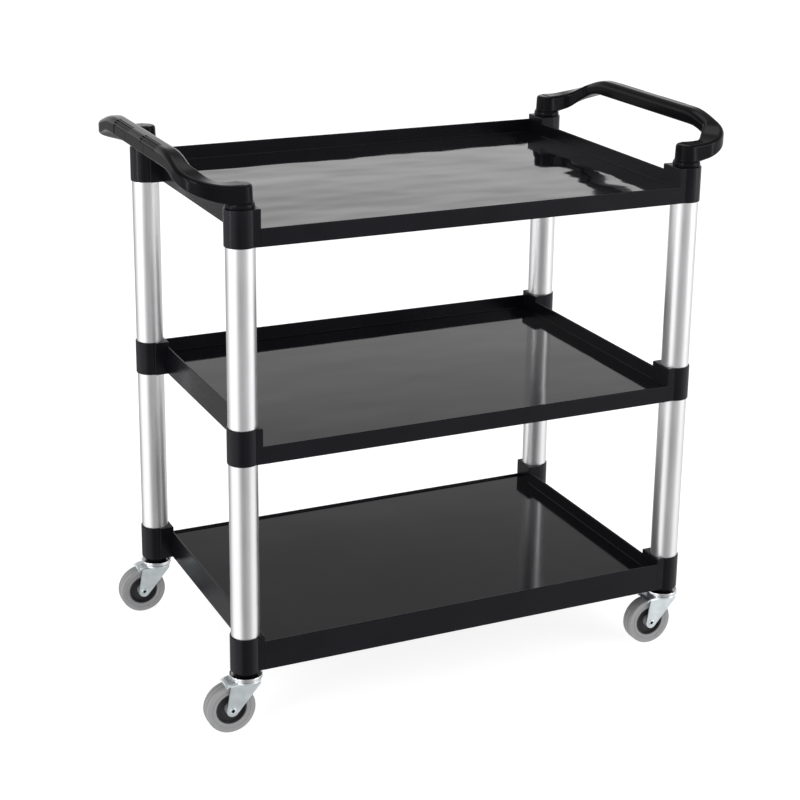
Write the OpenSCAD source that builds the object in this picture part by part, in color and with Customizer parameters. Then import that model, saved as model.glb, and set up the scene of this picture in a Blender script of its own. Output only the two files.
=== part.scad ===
// Food service trolley: three moulded shelves on four round posts, a handle at each end
// and four swivel casters. Millimetres, +Z up, +X along the length, the front faces -Y.
// The origin is on the floor under the middle of the trolley.

/* [Posts] */
// Distance between post centres along the length
post_pitch_x = 760; // [700:5:860]
// Distance between post centres across the width
post_pitch_y = 460; // [420:5:520]
// Outside diameter of the aluminium tubes
tube_d = 45; // [44:0.5:46]
// Wall thickness of the tubes
tube_wall = 1.5; // [1:0.1:3]

/* [Shelf levels] */
// Underside of the bottom shelf's walls above the floor
bottom_shelf_z = 102; // [102:1:105]
// Underside of the middle shelf's walls above the floor
middle_shelf_z = 443; // [393:5:508]
// Underside of the top shelf's walls above the floor
top_shelf_z = 779; // [710:1:850]

/* [Shelves] */
// Overhang of the long wall's outer face beyond the post centre
side_overhang = 21; // [18:0.5:23]
// Set-back of the end wall's outer face from the post centre
end_setback = 22; // [18:0.5:24]
// Wall thickness of the trays
wall_t = 3; // [2.5:0.5:4]
// Height of the tall walls
tall_wall = 48; // [40:1:52]
// Height of the low wall
low_wall = 28; // [26:0.5:36]
// Height of the tray floor's upper face above the wall bottom
floor_top = 24.5; // [20:0.5:25]
// Thickness of the tray floor
floor_t = 3.5; // [2.5:0.5:5]
// Outside radius of the collars
collar_r = 24.5; // [24.5:0.1:26]
// Height of the collars above the wall bottom
collar_h = 57; // [54:1:64]
// Length of the corner block along the end wall
corner_block_y = 28; // [26:1:40]
// Number of stiffening ribs across each tray
cross_ribs = 7; // [3:1:11]
// Depth of the stiffening ribs
rib_h = 11; // [6:1:16]

/* [Handles] */
// Reach of the grip's outer face beyond the post centre
grip_reach = 87; // [80:1:96]
// Width of the grip and of the arms
grip_w = 30; // [28:1:32]
// Height of the grip's top above the floor
grip_top_z = 909; // [889:1:929]
// Height of the grip from bottom to top
grip_h = 26; // [24:1:30]
// Height of the arm where it leaves the post
arm_h = 29; // [26:1:34]
// Outer radius of the bend between arm and grip
bend_r = 60; // [54:1:66]
// Extra width of the arm where it leaves the post
post_swell = 6; // [0:1:8]
// Extra width of the arm in the middle of the bend
bend_swell = 7; // [0:1:10]
// Number of grip grooves in each panel
grip_grooves = 4; // [2:1:4]
// Distance from the middle of the grip to the far end of a grooved panel
panel_end = 107; // [80:1:120]
// Half the plain gap between the two grooved panels
panel_gap = 29; // [10:1:34]

/* [Casters] */
// Wheel diameter
wheel_d = 80; // [76:0.5:80]
// Wheel width over the tyre
wheel_w = 23; // [20:0.5:24]
// Trail of the wheel axle behind the swivel axis
trail = 28; // [26:0.5:30]
// Diameter of the swivel's cover ring
race_d = 52; // [50:0.5:54]
// Outside width of the fork
fork_w = 34; // [33.5:0.5:36]
// Sheet thickness of the fork
fork_t = 2.5; // [2:0.1:3]
// Radius of the caster stem
stem_r = 5.5; // [5:0.1:6]
// Number of bearing balls in the swivel
ball_count = 16; // [10:1:20]

/* [Hidden] */

$fn = 48;
post_x = post_pitch_x / 2;
post_y = post_pitch_y / 2;
tube_r = tube_d / 2;
socket_r = tube_r + 0.1;
socket_web = 4;
socket_depth = (collar_h - socket_web) / 2;
tray_y = post_y + side_overhang;
tray_x = post_x - end_setback;
front = -1;
back = 1;

arm_bottom_z = top_shelf_z + collar_h + 7;
arm_top_z = arm_bottom_z + arm_h;
foot_r = collar_r - 2.2;
foot_h = 10;
pillar_low_r = collar_r - 4;
pillar_top_r = collar_r - 6;
bend_x = grip_reach - bend_r;
bend_y = bend_r - grip_w / 2;
bend_steps = 10;
run_steps = 6;
bend_len = (bend_r - grip_w / 2) * PI / 2;
run_len = 60;

wheel_r = wheel_d / 2;
axle_r = 4;
sleeve_r = 6;
hub_r = 10;
rim_r = 25;
crown_z = wheel_d + 2.5;
race_z = crown_z + fork_t;
race_h = 2.4;
ball_r = 1.8;
ball_ring_r = 18;
leg_r = 10;
stem_top_z = bottom_shelf_z + 36;
collar_foot = 10;
collar_foot_z = bottom_shelf_z - collar_foot;

shelf_black = [0.10, 0.10, 0.11];
aluminium_grey = [0.80, 0.80, 0.82];
zinc = [0.78, 0.80, 0.83];
rubber_grey = [0.52, 0.52, 0.53];
hub_black = [0.08, 0.08, 0.08];

// ---------------------------------------------------------------- shelves

// One long or end wall as a plain bar, its lower edge at z = 0
module wall_bar(x, y, height) {
    translate([-x / 2, -y / 2, 0])
        cube([x, y, height]);
}

// Floor plate with the ribs that hang under it
module tray_floor() {
    translate([-tray_x + 1, -tray_y + 1, floor_top - floor_t])
        cube([2 * tray_x - 2, 2 * tray_y - 2, floor_t]);
    rib_z = floor_top - floor_t - rib_h;
    for (i = [1 : cross_ribs])
        translate([-tray_x + i * 2 * tray_x / (cross_ribs + 1), 0, rib_z])
            wall_bar(2.4, 2 * tray_y - 2, rib_h + 1);
    for (side = [-1, 0, 1])
        translate([0, side * tray_y / 2, rib_z])
            wall_bar(2 * tray_x - 2, 2.4, rib_h + 1);
}

// Corner block and collar at one post, foot is how far the collar hangs below the wall
module corner(foot) {
    block_x = end_setback + wall_t;
    translate([-block_x, -corner_block_y, 0])
        cube([block_x, corner_block_y + side_overhang, collar_h]);
    rotate_extrude($fn = 96)
        polygon([
            [0, -foot],
            [foot > 0 ? collar_r - 9.5 : collar_r - 1.5, -foot],
            [collar_r, foot > 0 ? 4 - foot : 1.5],
            [collar_r, collar_h - 1],
            [collar_r - 1, collar_h],
            [0, collar_h]
        ]);
}

// A shelf at height z with its low wall at the front or at the back
module shelf(z, low_side, foot, stem_bore) {
    color(shelf_black)
    translate([0, 0, z])
    difference() {
        union() {
            tray_floor();
            translate([0, low_side * (tray_y - wall_t / 2), 0])
                wall_bar(2 * post_x, wall_t, low_wall);
            translate([0, -low_side * (tray_y - wall_t / 2), 0])
                wall_bar(2 * post_x, wall_t, tall_wall);
            for (side = [-1, 1])
                translate([side * (tray_x - wall_t / 2), 0, 0])
                    wall_bar(wall_t, 2 * post_y, tall_wall);
            for (sx = [-1, 1])
                for (sy = [-1, 1])
                    translate([sx * post_x, sy * post_y, 0])
                        scale([sx, sy, 1])
                            corner(foot);
        }
        for (sx = [-1, 1])
            for (sy = [-1, 1])
                translate([sx * post_x, sy * post_y, 0]) {
                    translate([0, 0, collar_h - socket_depth])
                        cylinder(h = socket_depth + 1, r = socket_r, $fn = 96);
                    if (stem_bore)
                        translate([0, 0, -foot - 1])
                            cylinder(h = collar_h, r = stem_r + 0.05);
                    else
                        translate([0, 0, -1])
                            cylinder(h = socket_depth + 1, r = socket_r, $fn = 96);
                }
    }
}

// ---------------------------------------------------------------- tubes

// A straight tube at one corner between two heights
module tube(sx, sy, z_low, z_high) {
    color(aluminium_grey)
    translate([sx * post_x, sy * post_y, z_low])
    difference() {
        cylinder(h = z_high - z_low, r = tube_r, $fn = 96);
        translate([0, 0, -1])
            cylinder(h = z_high - z_low + 2, r = tube_r - tube_wall, $fn = 96);
    }
}

module lower_tube(sx, sy) {
    tube(sx, sy, bottom_shelf_z + collar_h - socket_depth, middle_shelf_z + socket_depth);
}

module upper_tube(sx, sy) {
    tube(sx, sy, middle_shelf_z + collar_h - socket_depth, top_shelf_z + socket_depth);
}

// ---------------------------------------------------------------- handles

// Soft step from 0 to 1 as t goes from 0 to 1
function ease(t) = let (c = min(1, max(0, t))) c * c * (3 - 2 * c);

// Top and bottom of the handle at a path length s from the start of the bend
function top_at(s) = arm_top_z + (grip_top_z - arm_top_z) * ease((s + 15) / 140);
function bottom_at(s) = arm_bottom_z + (grip_top_z - grip_h - arm_bottom_z) * ease((s + 20) / 130);
function top_round_at(s) = 5 + 5.5 * ease(s / 110);

// Points on an arc of radius r from angle a0 to a1
function arc(cx, cz, r, a0, a1, steps) = [
    for (i = [0 : steps])
        let (a = a0 + (a1 - a0) * i / steps)
            [cx + r * cos(a), cz + r * sin(a)]
];

// Rounded section of the handle, 0 is its outer face and width its inner face
function section(width, low, high, r) = concat(
    arc(width - 4, low + 4, 4, -90, 0, 3),
    arc(width - r, high - r, r, 0, 90, 5),
    arc(r, high - r, r, 90, 180, 5),
    arc(4, low + 4, 4, 180, 270, 3)
);

// One upright ring of the handle: p is on its outer face, turn is its heading
function ring(p, turn, width, s) = [
    for (q = section(width, bottom_at(s), top_at(s), top_round_at(s)))
        [p[0] - q[0] * sin(turn), p[1] + q[0] * cos(turn), q[1]]
];

// Ring k of one arm: 0 at the post, then round the bend, then along the grip
function bend_ring(turn) = ring(
    [bend_x + bend_r * sin(turn), bend_y - bend_r * cos(turn)],
    turn, grip_w + bend_swell * sin(2 * turn), bend_len * turn / 90
);
function run_ring(run) = ring([grip_reach, bend_y + run], 90, grip_w, bend_len + run);
half_rings = concat(
    [ring([-2, -(grip_w + post_swell) / 2], 0, grip_w + post_swell, -bend_x)],
    [for (k = [0 : bend_steps]) bend_ring(90 * k / bend_steps)],
    [for (k = [1 : run_steps]) run_ring(run_len * k / run_steps)]
);
last_ring = len(half_rings) - 1;
handle_rings = concat(
    half_rings,
    [for (k = [last_ring : -1 : 0]) [for (p = half_rings[k]) [p[0], post_pitch_y - p[1], p[2]]]]
);

// Arms and grip as one closed skin over the rings, x outwards from the near post
module arms_and_grip() {
    n = len(handle_rings[0]);
    count = len(handle_rings);
    polyhedron(
        points = [for (r = handle_rings) for (p = r) p],
        faces = concat(
            [[for (j = [0 : n - 1]) j]],
            [
                for (k = [0 : count - 2])
                    for (j = [0 : n - 1])
                        [k * n + j, (k + 1) * n + j, (k + 1) * n + (j + 1) % n, k * n + (j + 1) % n]
            ],
            [[for (j = [n - 1 : -1 : 0]) (count - 1) * n + j]]
        ),
        convexity = 6
    );
}

// Pillar over one post, its domed foot on the collar and the spigot that drops into the collar
module boss() {
    collar_top = top_shelf_z + collar_h;
    translate([0, 0, collar_top])
        rotate_extrude($fn = 96)
            polygon([
                [0, -socket_depth + 0.5],
                [tube_r - 1, -socket_depth + 0.5],
                [tube_r, -socket_depth + 2],
                [tube_r, 0],
                [foot_r, 0],
                [foot_r - 0.6, foot_h - 7],
                [foot_r - 2.2, foot_h - 4],
                [pillar_low_r - 1, foot_h],
                [pillar_top_r, arm_top_z - collar_top - 4],
                [pillar_top_r - 1, arm_top_z - collar_top - 2],
                [pillar_top_r - 3, arm_top_z - collar_top - 0.7],
                [0, arm_top_z - collar_top - 0.7]
            ]);
}

// The grooves of one panel, cut along the grip's upper outer shoulder
module panel_grooves() {
    r = top_round_at(200);
    for (i = [0 : grip_grooves - 1]) {
        around = 12 + i * 26;
        x = grip_reach - r + (r + 0.3) * cos(around);
        z = grip_top_z - r + (r + 0.3) * sin(around);
        translate([x, post_y - panel_end, z])
            rotate([-90, 0, 0])
                cylinder(h = panel_end - panel_gap, r = 1.1, $fn = 16);
    }
}

// A whole handle on the right end, mirrored for the left end
module handle(side) {
    color(shelf_black)
    mirror([side < 0 ? 1 : 0, 0, 0])
        translate([post_x, -post_y, 0])
            difference() {
                union() {
                    arms_and_grip();
                    boss();
                    translate([0, post_pitch_y, 0])
                        boss();
                }
                panel_grooves();
                translate([0, post_pitch_y, 0])
                    mirror([0, 1, 0])
                        panel_grooves();
            }
}

// ---------------------------------------------------------------- casters

// Everything below is drawn round the swivel axis, the wheel trails towards -X

// Stem from the closing head under the fork up into the collar
module stem() {
    color(zinc)
    rotate_extrude($fn = 64)
        polygon([
            [0, crown_z - 5],
            [7, crown_z - 5],
            [9, crown_z - 3.6],
            [9, crown_z - 0.5],
            [stem_r, crown_z - 0.5],
            [stem_r, stem_top_z - 1],
            [stem_r - 1, stem_top_z],
            [0, stem_top_z]
        ]);
}

// Dished cover ring that closes the ball race from above and holds the collar's foot
module cover_ring() {
    r = race_d / 2;
    plate_z = race_z + race_h + 3.8;
    color(zinc)
    rotate_extrude($fn = 96)
        polygon([
            [stem_r + 0.05, plate_z],
            [r - 2, plate_z],
            [r - 1.6, race_z + 2],
            [r, race_z + 2],
            [r, race_z + 9.4],
            [r - 0.6, race_z + 10],
            [r - 1.3, race_z + 9.7],
            [r - 3, race_z + 8],
            [15, collar_foot_z],
            [stem_r + 0.05, collar_foot_z]
        ]);
}

module balls() {
    color(zinc)
    for (i = [0 : ball_count - 1])
        rotate([0, 0, i * 360 / ball_count])
            translate([ball_ring_r, 0, race_z + race_h + 0.2 + ball_r])
                sphere(r = ball_r, $fn = 24);
}

// Lower ring of the ball race, fixed on the fork's crown
module lower_race() {
    color(zinc)
    translate([0, 0, race_z])
    difference() {
        union() {
            cylinder(h = race_h, r = race_d / 2 - 2.4, $fn = 96);
            cylinder(h = race_h / 2, r = race_d / 2 - 0.8, $fn = 96);
        }
        translate([0, 0, -1])
            cylinder(h = 6, r = 10);
    }
}

// Outline of one fork leg, drawn in x and z
module leg_outline() {
    hull() {
        translate([-trail, wheel_r])
            circle(r = leg_r);
        translate([-trail - 3, crown_z - 4])
            square([50, fork_t + 3.5]);
    }
}

// Lip that turns down behind the crown, over the wheel
module rear_lip() {
    x = -trail - 7;
    translate([0, fork_w / 2 - 1, 0])
        rotate([90, 0, 0])
            linear_extrude(fork_w - 2)
                polygon([
                    [x + 1.5, crown_z + fork_t - 0.2],
                    [x, crown_z + fork_t - 0.2],
                    [x - 3.2, crown_z + 0.9],
                    [x - 4.2, crown_z - 1],
                    [x - 2, crown_z - 1.3],
                    [x + 1.5, crown_z + 0.2]
                ]);
}

module fork() {
    color(zinc)
    difference() {
        union() {
            for (y = [-fork_w / 2 + fork_t, fork_w / 2])
                translate([0, y, 0])
                    rotate([90, 0, 0])
                        linear_extrude(fork_t)
                            leg_outline();
            translate([-trail - 7, -fork_w / 2 + 0.5, crown_z])
                cube([50, fork_w - 1, fork_t]);
            rear_lip();
            translate([0, 0, crown_z - 0.2])
                cylinder(h = fork_t + 0.2, r = race_d / 2 - 1.5, $fn = 96);
        }
        translate([0, 0, crown_z - 1])
            cylinder(h = fork_t + 2, r = stem_r + 0.06);
        translate([-trail, 0, wheel_r])
            rotate([90, 0, 0])
                cylinder(h = fork_w + 2, r = axle_r + 0.05, center = true);
    }
}

// Axle pieces and wheel are drawn round the wheel's own axis, y along it
module at_axle() {
    translate([-trail, 0, wheel_r])
        rotate([90, 0, 0])
            children();
}

// Riveted axle, hollow at both ends
module axle() {
    color(zinc)
    at_axle()
    difference() {
        union() {
            cylinder(h = fork_w + 1, r = axle_r, center = true);
            for (side = [-1, 1])
                translate([0, 0, side * (fork_w / 2 + 0.7)])
                    cylinder(h = 1.4, r = 5.6, center = true);
        }
        for (side = [-1, 1])
            translate([0, 0, side * (fork_w / 2 + 1)])
                cylinder(h = 8, r = 2.8, center = true);
    }
}

// Spacer tube on which the hub turns
module sleeve() {
    color(zinc)
    at_axle()
    difference() {
        cylinder(h = fork_w - 2 * fork_t - 0.1, r = sleeve_r, center = true);
        cylinder(h = fork_w, r = axle_r + 0.05, center = true);
    }
}

module washers() {
    color(zinc)
    at_axle()
    for (side = [-1, 1])
        translate([0, 0, side * (fork_w / 2 - fork_t - 0.55)])
            difference() {
                cylinder(h = 0.9, r = 8.5, center = true);
                cylinder(h = 2, r = sleeve_r + 0.05, center = true);
            }
}

// Moulded hub, dished web and rim as one turned piece
module wheel_centre() {
    hub = fork_w / 2 - fork_t - 1.3;
    rim = wheel_w / 2 - 1;
    color(hub_black)
    at_axle()
    rotate_extrude($fn = 96)
        polygon([
            [sleeve_r + 0.06, -hub],
            [hub_r - 1, -hub],
            [hub_r, -hub + 2],
            [hub_r + 2, -4],
            [rim_r - 5, -2.5],
            [rim_r - 2, -rim + 1],
            [rim_r - 1, -rim],
            [rim_r, -rim],
            [rim_r, rim],
            [rim_r - 1, rim],
            [rim_r - 2, rim - 1],
            [rim_r - 5, 2.5],
            [hub_r + 2, 4],
            [hub_r, hub - 2],
            [hub_r - 1, hub],
            [sleeve_r + 0.06, hub]
        ]);
}

// Solid rubber tyre with tread grooves and a ring groove in each flank
module tyre() {
    w = wheel_w / 2;
    inner = rim_r + 0.02;
    color(rubber_grey)
    at_axle()
    rotate_extrude($fn = 128)
        difference() {
            polygon([
                [inner, -w + 1.5],
                [inner + 1.5, -w + 0.4],
                [inner + 4, -w],
                [wheel_r - 4.5, -w],
                [wheel_r - 1.8, -w + 1.4],
                [wheel_r, -w + 5],
                [wheel_r, w - 5],
                [wheel_r - 1.8, w - 1.4],
                [wheel_r - 4.5, w],
                [inner + 4, w],
                [inner + 1.5, w - 0.4],
                [inner, w - 1.5]
            ]);
            for (y = [-4, 4])
                translate([wheel_r, y])
                    square([2.4, 1.4], center = true);
            for (y = [-w, w])
                translate([inner + 6, y])
                    square([1.2, 1.4], center = true);
        }
}

// Puts a caster piece under one post
module at_post(sx, sy) {
    translate([sx * post_x, sy * post_y, 0])
        children();
}

// ---------------------------------------------------------------- nodes

shelf(bottom_shelf_z, back, collar_foot, true);  // bottom_shelf
shelf(middle_shelf_z, front, 0, false);  // middle_shelf
shelf(top_shelf_z, front, 0, false);  // top_shelf
lower_tube(-1, -1);  // fl_lower_tube
lower_tube(1, -1);  // fr_lower_tube
lower_tube(-1, 1);  // bl_lower_tube
lower_tube(1, 1);  // br_lower_tube
upper_tube(-1, -1);  // fl_upper_tube
upper_tube(1, -1);  // fr_upper_tube
upper_tube(-1, 1);  // bl_upper_tube
upper_tube(1, 1);  // br_upper_tube
handle(-1);  // left_handle
handle(1);  // right_handle
at_post(-1, -1) stem();  // fl_stem
at_post(-1, -1) cover_ring();  // fl_cover_ring
at_post(-1, -1) balls();  // fl_balls
at_post(-1, -1) lower_race();  // fl_lower_race
at_post(-1, -1) fork();  // fl_fork
at_post(-1, -1) axle();  // fl_axle
at_post(-1, -1) sleeve();  // fl_sleeve
at_post(-1, -1) washers();  // fl_washers
at_post(-1, -1) wheel_centre();  // fl_wheel_centre
at_post(-1, -1) tyre();  // fl_tyre
at_post(1, -1) stem();  // fr_stem
at_post(1, -1) cover_ring();  // fr_cover_ring
at_post(1, -1) balls();  // fr_balls
at_post(1, -1) lower_race();  // fr_lower_race
at_post(1, -1) fork();  // fr_fork
at_post(1, -1) axle();  // fr_axle
at_post(1, -1) sleeve();  // fr_sleeve
at_post(1, -1) washers();  // fr_washers
at_post(1, -1) wheel_centre();  // fr_wheel_centre
at_post(1, -1) tyre();  // fr_tyre
at_post(-1, 1) stem();  // bl_stem
at_post(-1, 1) cover_ring();  // bl_cover_ring
at_post(-1, 1) balls();  // bl_balls
at_post(-1, 1) lower_race();  // bl_lower_race
at_post(-1, 1) fork();  // bl_fork
at_post(-1, 1) axle();  // bl_axle
at_post(-1, 1) sleeve();  // bl_sleeve
at_post(-1, 1) washers();  // bl_washers
at_post(-1, 1) wheel_centre();  // bl_wheel_centre
at_post(-1, 1) tyre();  // bl_tyre
at_post(1, 1) stem();  // br_stem
at_post(1, 1) cover_ring();  // br_cover_ring
at_post(1, 1) balls();  // br_balls
at_post(1, 1) lower_race();  // br_lower_race
at_post(1, 1) fork();  // br_fork
at_post(1, 1) axle();  // br_axle
at_post(1, 1) sleeve();  // br_sleeve
at_post(1, 1) washers();  // br_washers
at_post(1, 1) wheel_centre();  // br_wheel_centre
at_post(1, 1) tyre();  // br_tyre
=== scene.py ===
"""Food service trolley: finished shelves, posts, handles and casters round a fixed frame."""

import math

import bmesh
import bpy
from mathutils import Matrix, Vector


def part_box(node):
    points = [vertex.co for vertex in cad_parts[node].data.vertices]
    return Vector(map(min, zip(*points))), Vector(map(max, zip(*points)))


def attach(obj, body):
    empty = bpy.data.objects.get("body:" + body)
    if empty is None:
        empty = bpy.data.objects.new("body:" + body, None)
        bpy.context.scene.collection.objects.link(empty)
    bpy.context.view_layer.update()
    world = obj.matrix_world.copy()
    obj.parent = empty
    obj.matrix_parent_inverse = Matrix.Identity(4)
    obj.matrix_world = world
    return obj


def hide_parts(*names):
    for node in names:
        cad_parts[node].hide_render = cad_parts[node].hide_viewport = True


bl_info = {
    "name": "Food Service Trolley",
    "version": (1, 0, 0),
    "blender": (4, 5, 0),
    "location": "3D View > Sidebar > Trolley",
    "description": "Builds a three-shelf service trolley with handles and swivel casters",
    "category": "Add Mesh",
}

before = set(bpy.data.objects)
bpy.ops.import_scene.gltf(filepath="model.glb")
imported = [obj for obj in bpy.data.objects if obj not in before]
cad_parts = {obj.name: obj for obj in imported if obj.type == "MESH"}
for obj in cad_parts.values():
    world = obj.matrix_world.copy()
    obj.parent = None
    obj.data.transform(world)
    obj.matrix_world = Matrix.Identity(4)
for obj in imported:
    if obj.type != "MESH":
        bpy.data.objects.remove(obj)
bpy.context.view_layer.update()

MM = 0.001
CORNERS = ("fl", "fr", "bl", "br")
SHELVES = ("bottom_shelf", "middle_shelf", "top_shelf")


def centre_of(node):
    """Middle of a frame node's box, in metres."""
    low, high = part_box(node)
    return (low + high) / 2


def post_of(corner):
    """Place of one post on the floor plan, in metres."""
    place = centre_of(corner + "_upper_tube")
    return Vector((place.x, place.y, 0))


def axle_of(corner):
    """Centre of one wheel, in metres."""
    return centre_of(corner + "_wheel_centre")


POST = post_of("br")
TYRE_LOW, TYRE_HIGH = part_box("fl_tyre")


# ---------------- settings


def length(name, description, millimetres):
    return bpy.props.FloatProperty(
        name=name, description=description, default=millimetres * MM, unit="LENGTH")


def power(name, description, watts):
    return bpy.props.FloatProperty(name=name, description=description, default=watts, unit="POWER")


def colour(name, description, value):
    return bpy.props.FloatVectorProperty(
        name=name, description=description, subtype="COLOR", default=value)


class TrolleySizes(bpy.types.PropertyGroup):
    wall: length("Wall", "Wall thickness of the trays", 3.0)
    tall_wall: length("Tall wall", "Height of the tall walls", 48.0)
    low_wall: length("Low wall", "Height of the low wall", 28.0)
    floor_top: length("Tray floor", "Height of the tray floor above the wall's lower edge", 24.5)
    rib_count: bpy.props.IntProperty(
        name="Cross ribs", description="Stiffening ribs across each tray", default=7, min=1)
    rib_depth: length("Rib depth", "Depth of the stiffening ribs", 11.0)
    collar_radius: length("Collar radius", "Outside radius of the collars", 24.5)
    collar_height: length("Collar height", "Height of the collars above the wall's lower edge", 57.0)
    groove_depth: length("Groove depth", "Depth of the grip's grooves", 1.7)
    groove_count: bpy.props.IntProperty(
        name="Grooves", description="Grooves in each panel of the grip", default=4, min=1, max=5)
    ball_count: bpy.props.IntProperty(
        name="Balls", description="Bearing balls in each swivel", default=16, min=6)


class TrolleyColours(bpy.types.PropertyGroup):
    shelf: colour("Shelf plastic", "Colour of the moulded shelves", (0.0045, 0.0045, 0.0060))
    handle: colour("Handle plastic", "Colour of the handles", (0.0045, 0.0045, 0.0052))
    tube: colour("Tube", "Colour of the satin aluminium", (0.80, 0.80, 0.81))
    zinc: colour("Zinc", "Colour of the zinc-plated forks", (0.76, 0.82, 0.84))
    rubber: colour("Rubber", "Colour of the tyres", (0.27, 0.27, 0.275))
    hub: colour("Hub plastic", "Colour of the wheel centres", (0.035, 0.035, 0.037))


class StageSettings(bpy.types.PropertyGroup):
    key_power: power("Key light", "Power of the large light at the left", 40.0)
    fill_power: power("Fill light", "Power of the light at the right", 25.0)
    top_power: power("Top light", "Power of the light overhead", 30.0)
    strip_power: power("Strip lights", "Power of the narrow upright lights", 11.0)
    floor_colour: colour("Floor", "Colour of the pale floor", (0.40, 0.40, 0.40))


def sizes():
    return bpy.context.scene.trolley_sizes


def colours():
    return bpy.context.scene.trolley_colours


def stage_settings():
    return bpy.context.scene.trolley_stage


# ---------------- materials


class Finish:
    """A material under construction: its nodes, links and shader."""

    def __init__(self, name):
        self.material = bpy.data.materials.new(name)
        self.material.use_nodes = True
        self.tree = self.material.node_tree
        self.shader = self.tree.nodes["Principled BSDF"]
        self.place = self.tree.nodes.new("ShaderNodeTexCoord").outputs["Object"]

    def node(self, kind, **values):
        made = self.tree.nodes.new(kind)
        for key, value in values.items():
            if hasattr(made, key):
                setattr(made, key, value)
            else:
                made.inputs[key.replace("_", " ").title()].default_value = value
        return made

    def link(self, source, target):
        self.tree.links.new(source, target)

    def set(self, **values):
        for key, value in values.items():
            self.shader.inputs[key.replace("_", " ")].default_value = value

    def stretched(self, x, y, z):
        """Object coordinates scaled on each axis."""
        mapping = self.node("ShaderNodeMapping", scale=(x, y, z))
        self.link(self.place, mapping.inputs["Vector"])
        return mapping.outputs["Vector"]

    def noise(self, scale, detail=3.0, rough=0.5, vector=None):
        made = self.node("ShaderNodeTexNoise", scale=scale, detail=detail, roughness=rough)
        self.link(vector or self.place, made.inputs["Vector"])
        return made.outputs["Fac"]

    def cells(self, scale, vector=None):
        made = self.node("ShaderNodeTexVoronoi", scale=scale)
        self.link(vector or self.place, made.inputs["Vector"])
        return made.outputs["Distance"]

    def spread(self, value, low, high, start=0.3, end=0.7):
        """Maps a pattern's start..end to low..high."""
        made = self.node(
            "ShaderNodeMapRange", from_min=start, from_max=end, to_min=low, to_max=high)
        self.link(value, made.inputs["Value"])
        return made.outputs["Result"]

    def blend(self, factor, below, above):
        """A colour laid over another colour, or over a colour link, by a pattern."""
        made = self.node("ShaderNodeMix", data_type="RGBA")
        self.link(factor, made.inputs["Factor"])
        if isinstance(below, tuple):
            made.inputs[6].default_value = (*below, 1)
        else:
            self.link(below, made.inputs[6])
        made.inputs[7].default_value = (*above, 1)
        return made.outputs[2]

    def maths(self, how, a, b):
        made = self.node("ShaderNodeMath", operation=how)
        for socket, value in zip(made.inputs, (a, b)):
            if isinstance(value, (int, float)):
                socket.default_value = value
            else:
                self.link(value, socket)
        return made.outputs[0]

    def bump(self, height, distance, strength=1.0, under=None):
        made = self.node("ShaderNodeBump", distance=distance, strength=strength)
        self.link(height, made.inputs["Height"])
        if under:
            self.link(under, made.inputs["Normal"])
        return made.outputs["Normal"]

    def feed(self, **links):
        for key, value in links.items():
            self.link(value, self.shader.inputs[key.replace("_", " ")])
        return self.material


def shade(colour, factor):
    return tuple(min(1.0, part * factor) for part in colour)


def moulded_plastic(name, colour, gloss, skin=1.0, ior=1.28):
    """Black polypropylene: faint mottling, moulding skin and a few fine scuffs."""
    made = Finish(name)
    made.set(IOR=ior, Specular_Tint=(0.93, 0.92, 1.0, 1.0))
    cloud = made.noise(14.0, 4.0)
    marks = made.noise(60.0, 2.0, vector=made.stretched(1.0, 14.0, 6.0))
    scuffs = made.spread(marks, 0, 1, 0.68, 0.78)
    base = made.blend(made.spread(cloud, 0, 1), shade(colour, 0.85), shade(colour, 1.15))
    worn = made.blend(made.maths("MULTIPLY", scuffs, 0.08), base, shade(colour, 3.0))
    normal = made.bump(made.noise(1400.0, 2.0), 0.00002 * skin)
    wave = made.bump(made.noise(9.0, 1.0), 0.0008 * skin, 0.4, under=normal)
    rough = made.spread(cloud, gloss * 0.9, gloss * 1.15)
    rough = made.maths("ADD", rough, made.maths("MULTIPLY", scuffs, 0.03))
    return made.feed(Base_Color=worn, Roughness=rough, Normal=wave)


def tray_floor_plastic(name, colour, gloss, waves):
    """Polished tray floor: slow sink waves, hairline scratches and dust."""
    made = Finish(name)
    made.set(IOR=1.46, Specular_Tint=(0.95, 0.94, 1.0, 1.0))
    cloud = made.noise(6.0, 3.0)
    dust = made.spread(made.noise(900.0, 3.0, 0.7), 0, 1, 0.66, 0.8)
    lines = made.noise(220.0, 1.0, vector=made.stretched(0.06, 1.0, 1.0))
    hair = made.spread(lines, 0, 1, 0.66, 0.74)
    base = made.blend(made.spread(cloud, 0, 1), shade(colour, 0.85), shade(colour, 1.3))
    dusty = made.blend(made.maths("MULTIPLY", dust, 0.03), base, (0.35, 0.35, 0.36))
    sink = made.noise(5.5, 1.5, 0.4, vector=made.stretched(1.0, 1.7, 1.0))
    slow = made.bump(sink, 0.004 * waves, 0.6)
    rough = made.spread(cloud, gloss * 0.8, gloss * 1.3)
    rough = made.maths("ADD", rough, made.maths("MULTIPLY", hair, 0.03))
    return made.feed(Base_Color=dusty, Roughness=rough, Normal=slow)


def satin_aluminium(name, colour):
    """Anodised tube: fine drawn lines along the tube and a soft satin haze."""
    made = Finish(name)
    made.set(Metallic=1.0)
    drawn = made.noise(900.0, 2.0, vector=made.stretched(1.0, 1.0, 0.012))
    haze = made.noise(22.0, 3.0, vector=made.stretched(1.0, 1.0, 0.4))
    base = made.blend(made.spread(haze, 0, 1), shade(colour, 0.97), shade(colour, 1.03))
    rough = made.maths("ADD", made.spread(haze, 0.33, 0.38), made.spread(drawn, -0.03, 0.03))
    return made.feed(Base_Color=base, Roughness=rough, Normal=made.bump(drawn, 0.00003, 0.6))


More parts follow.
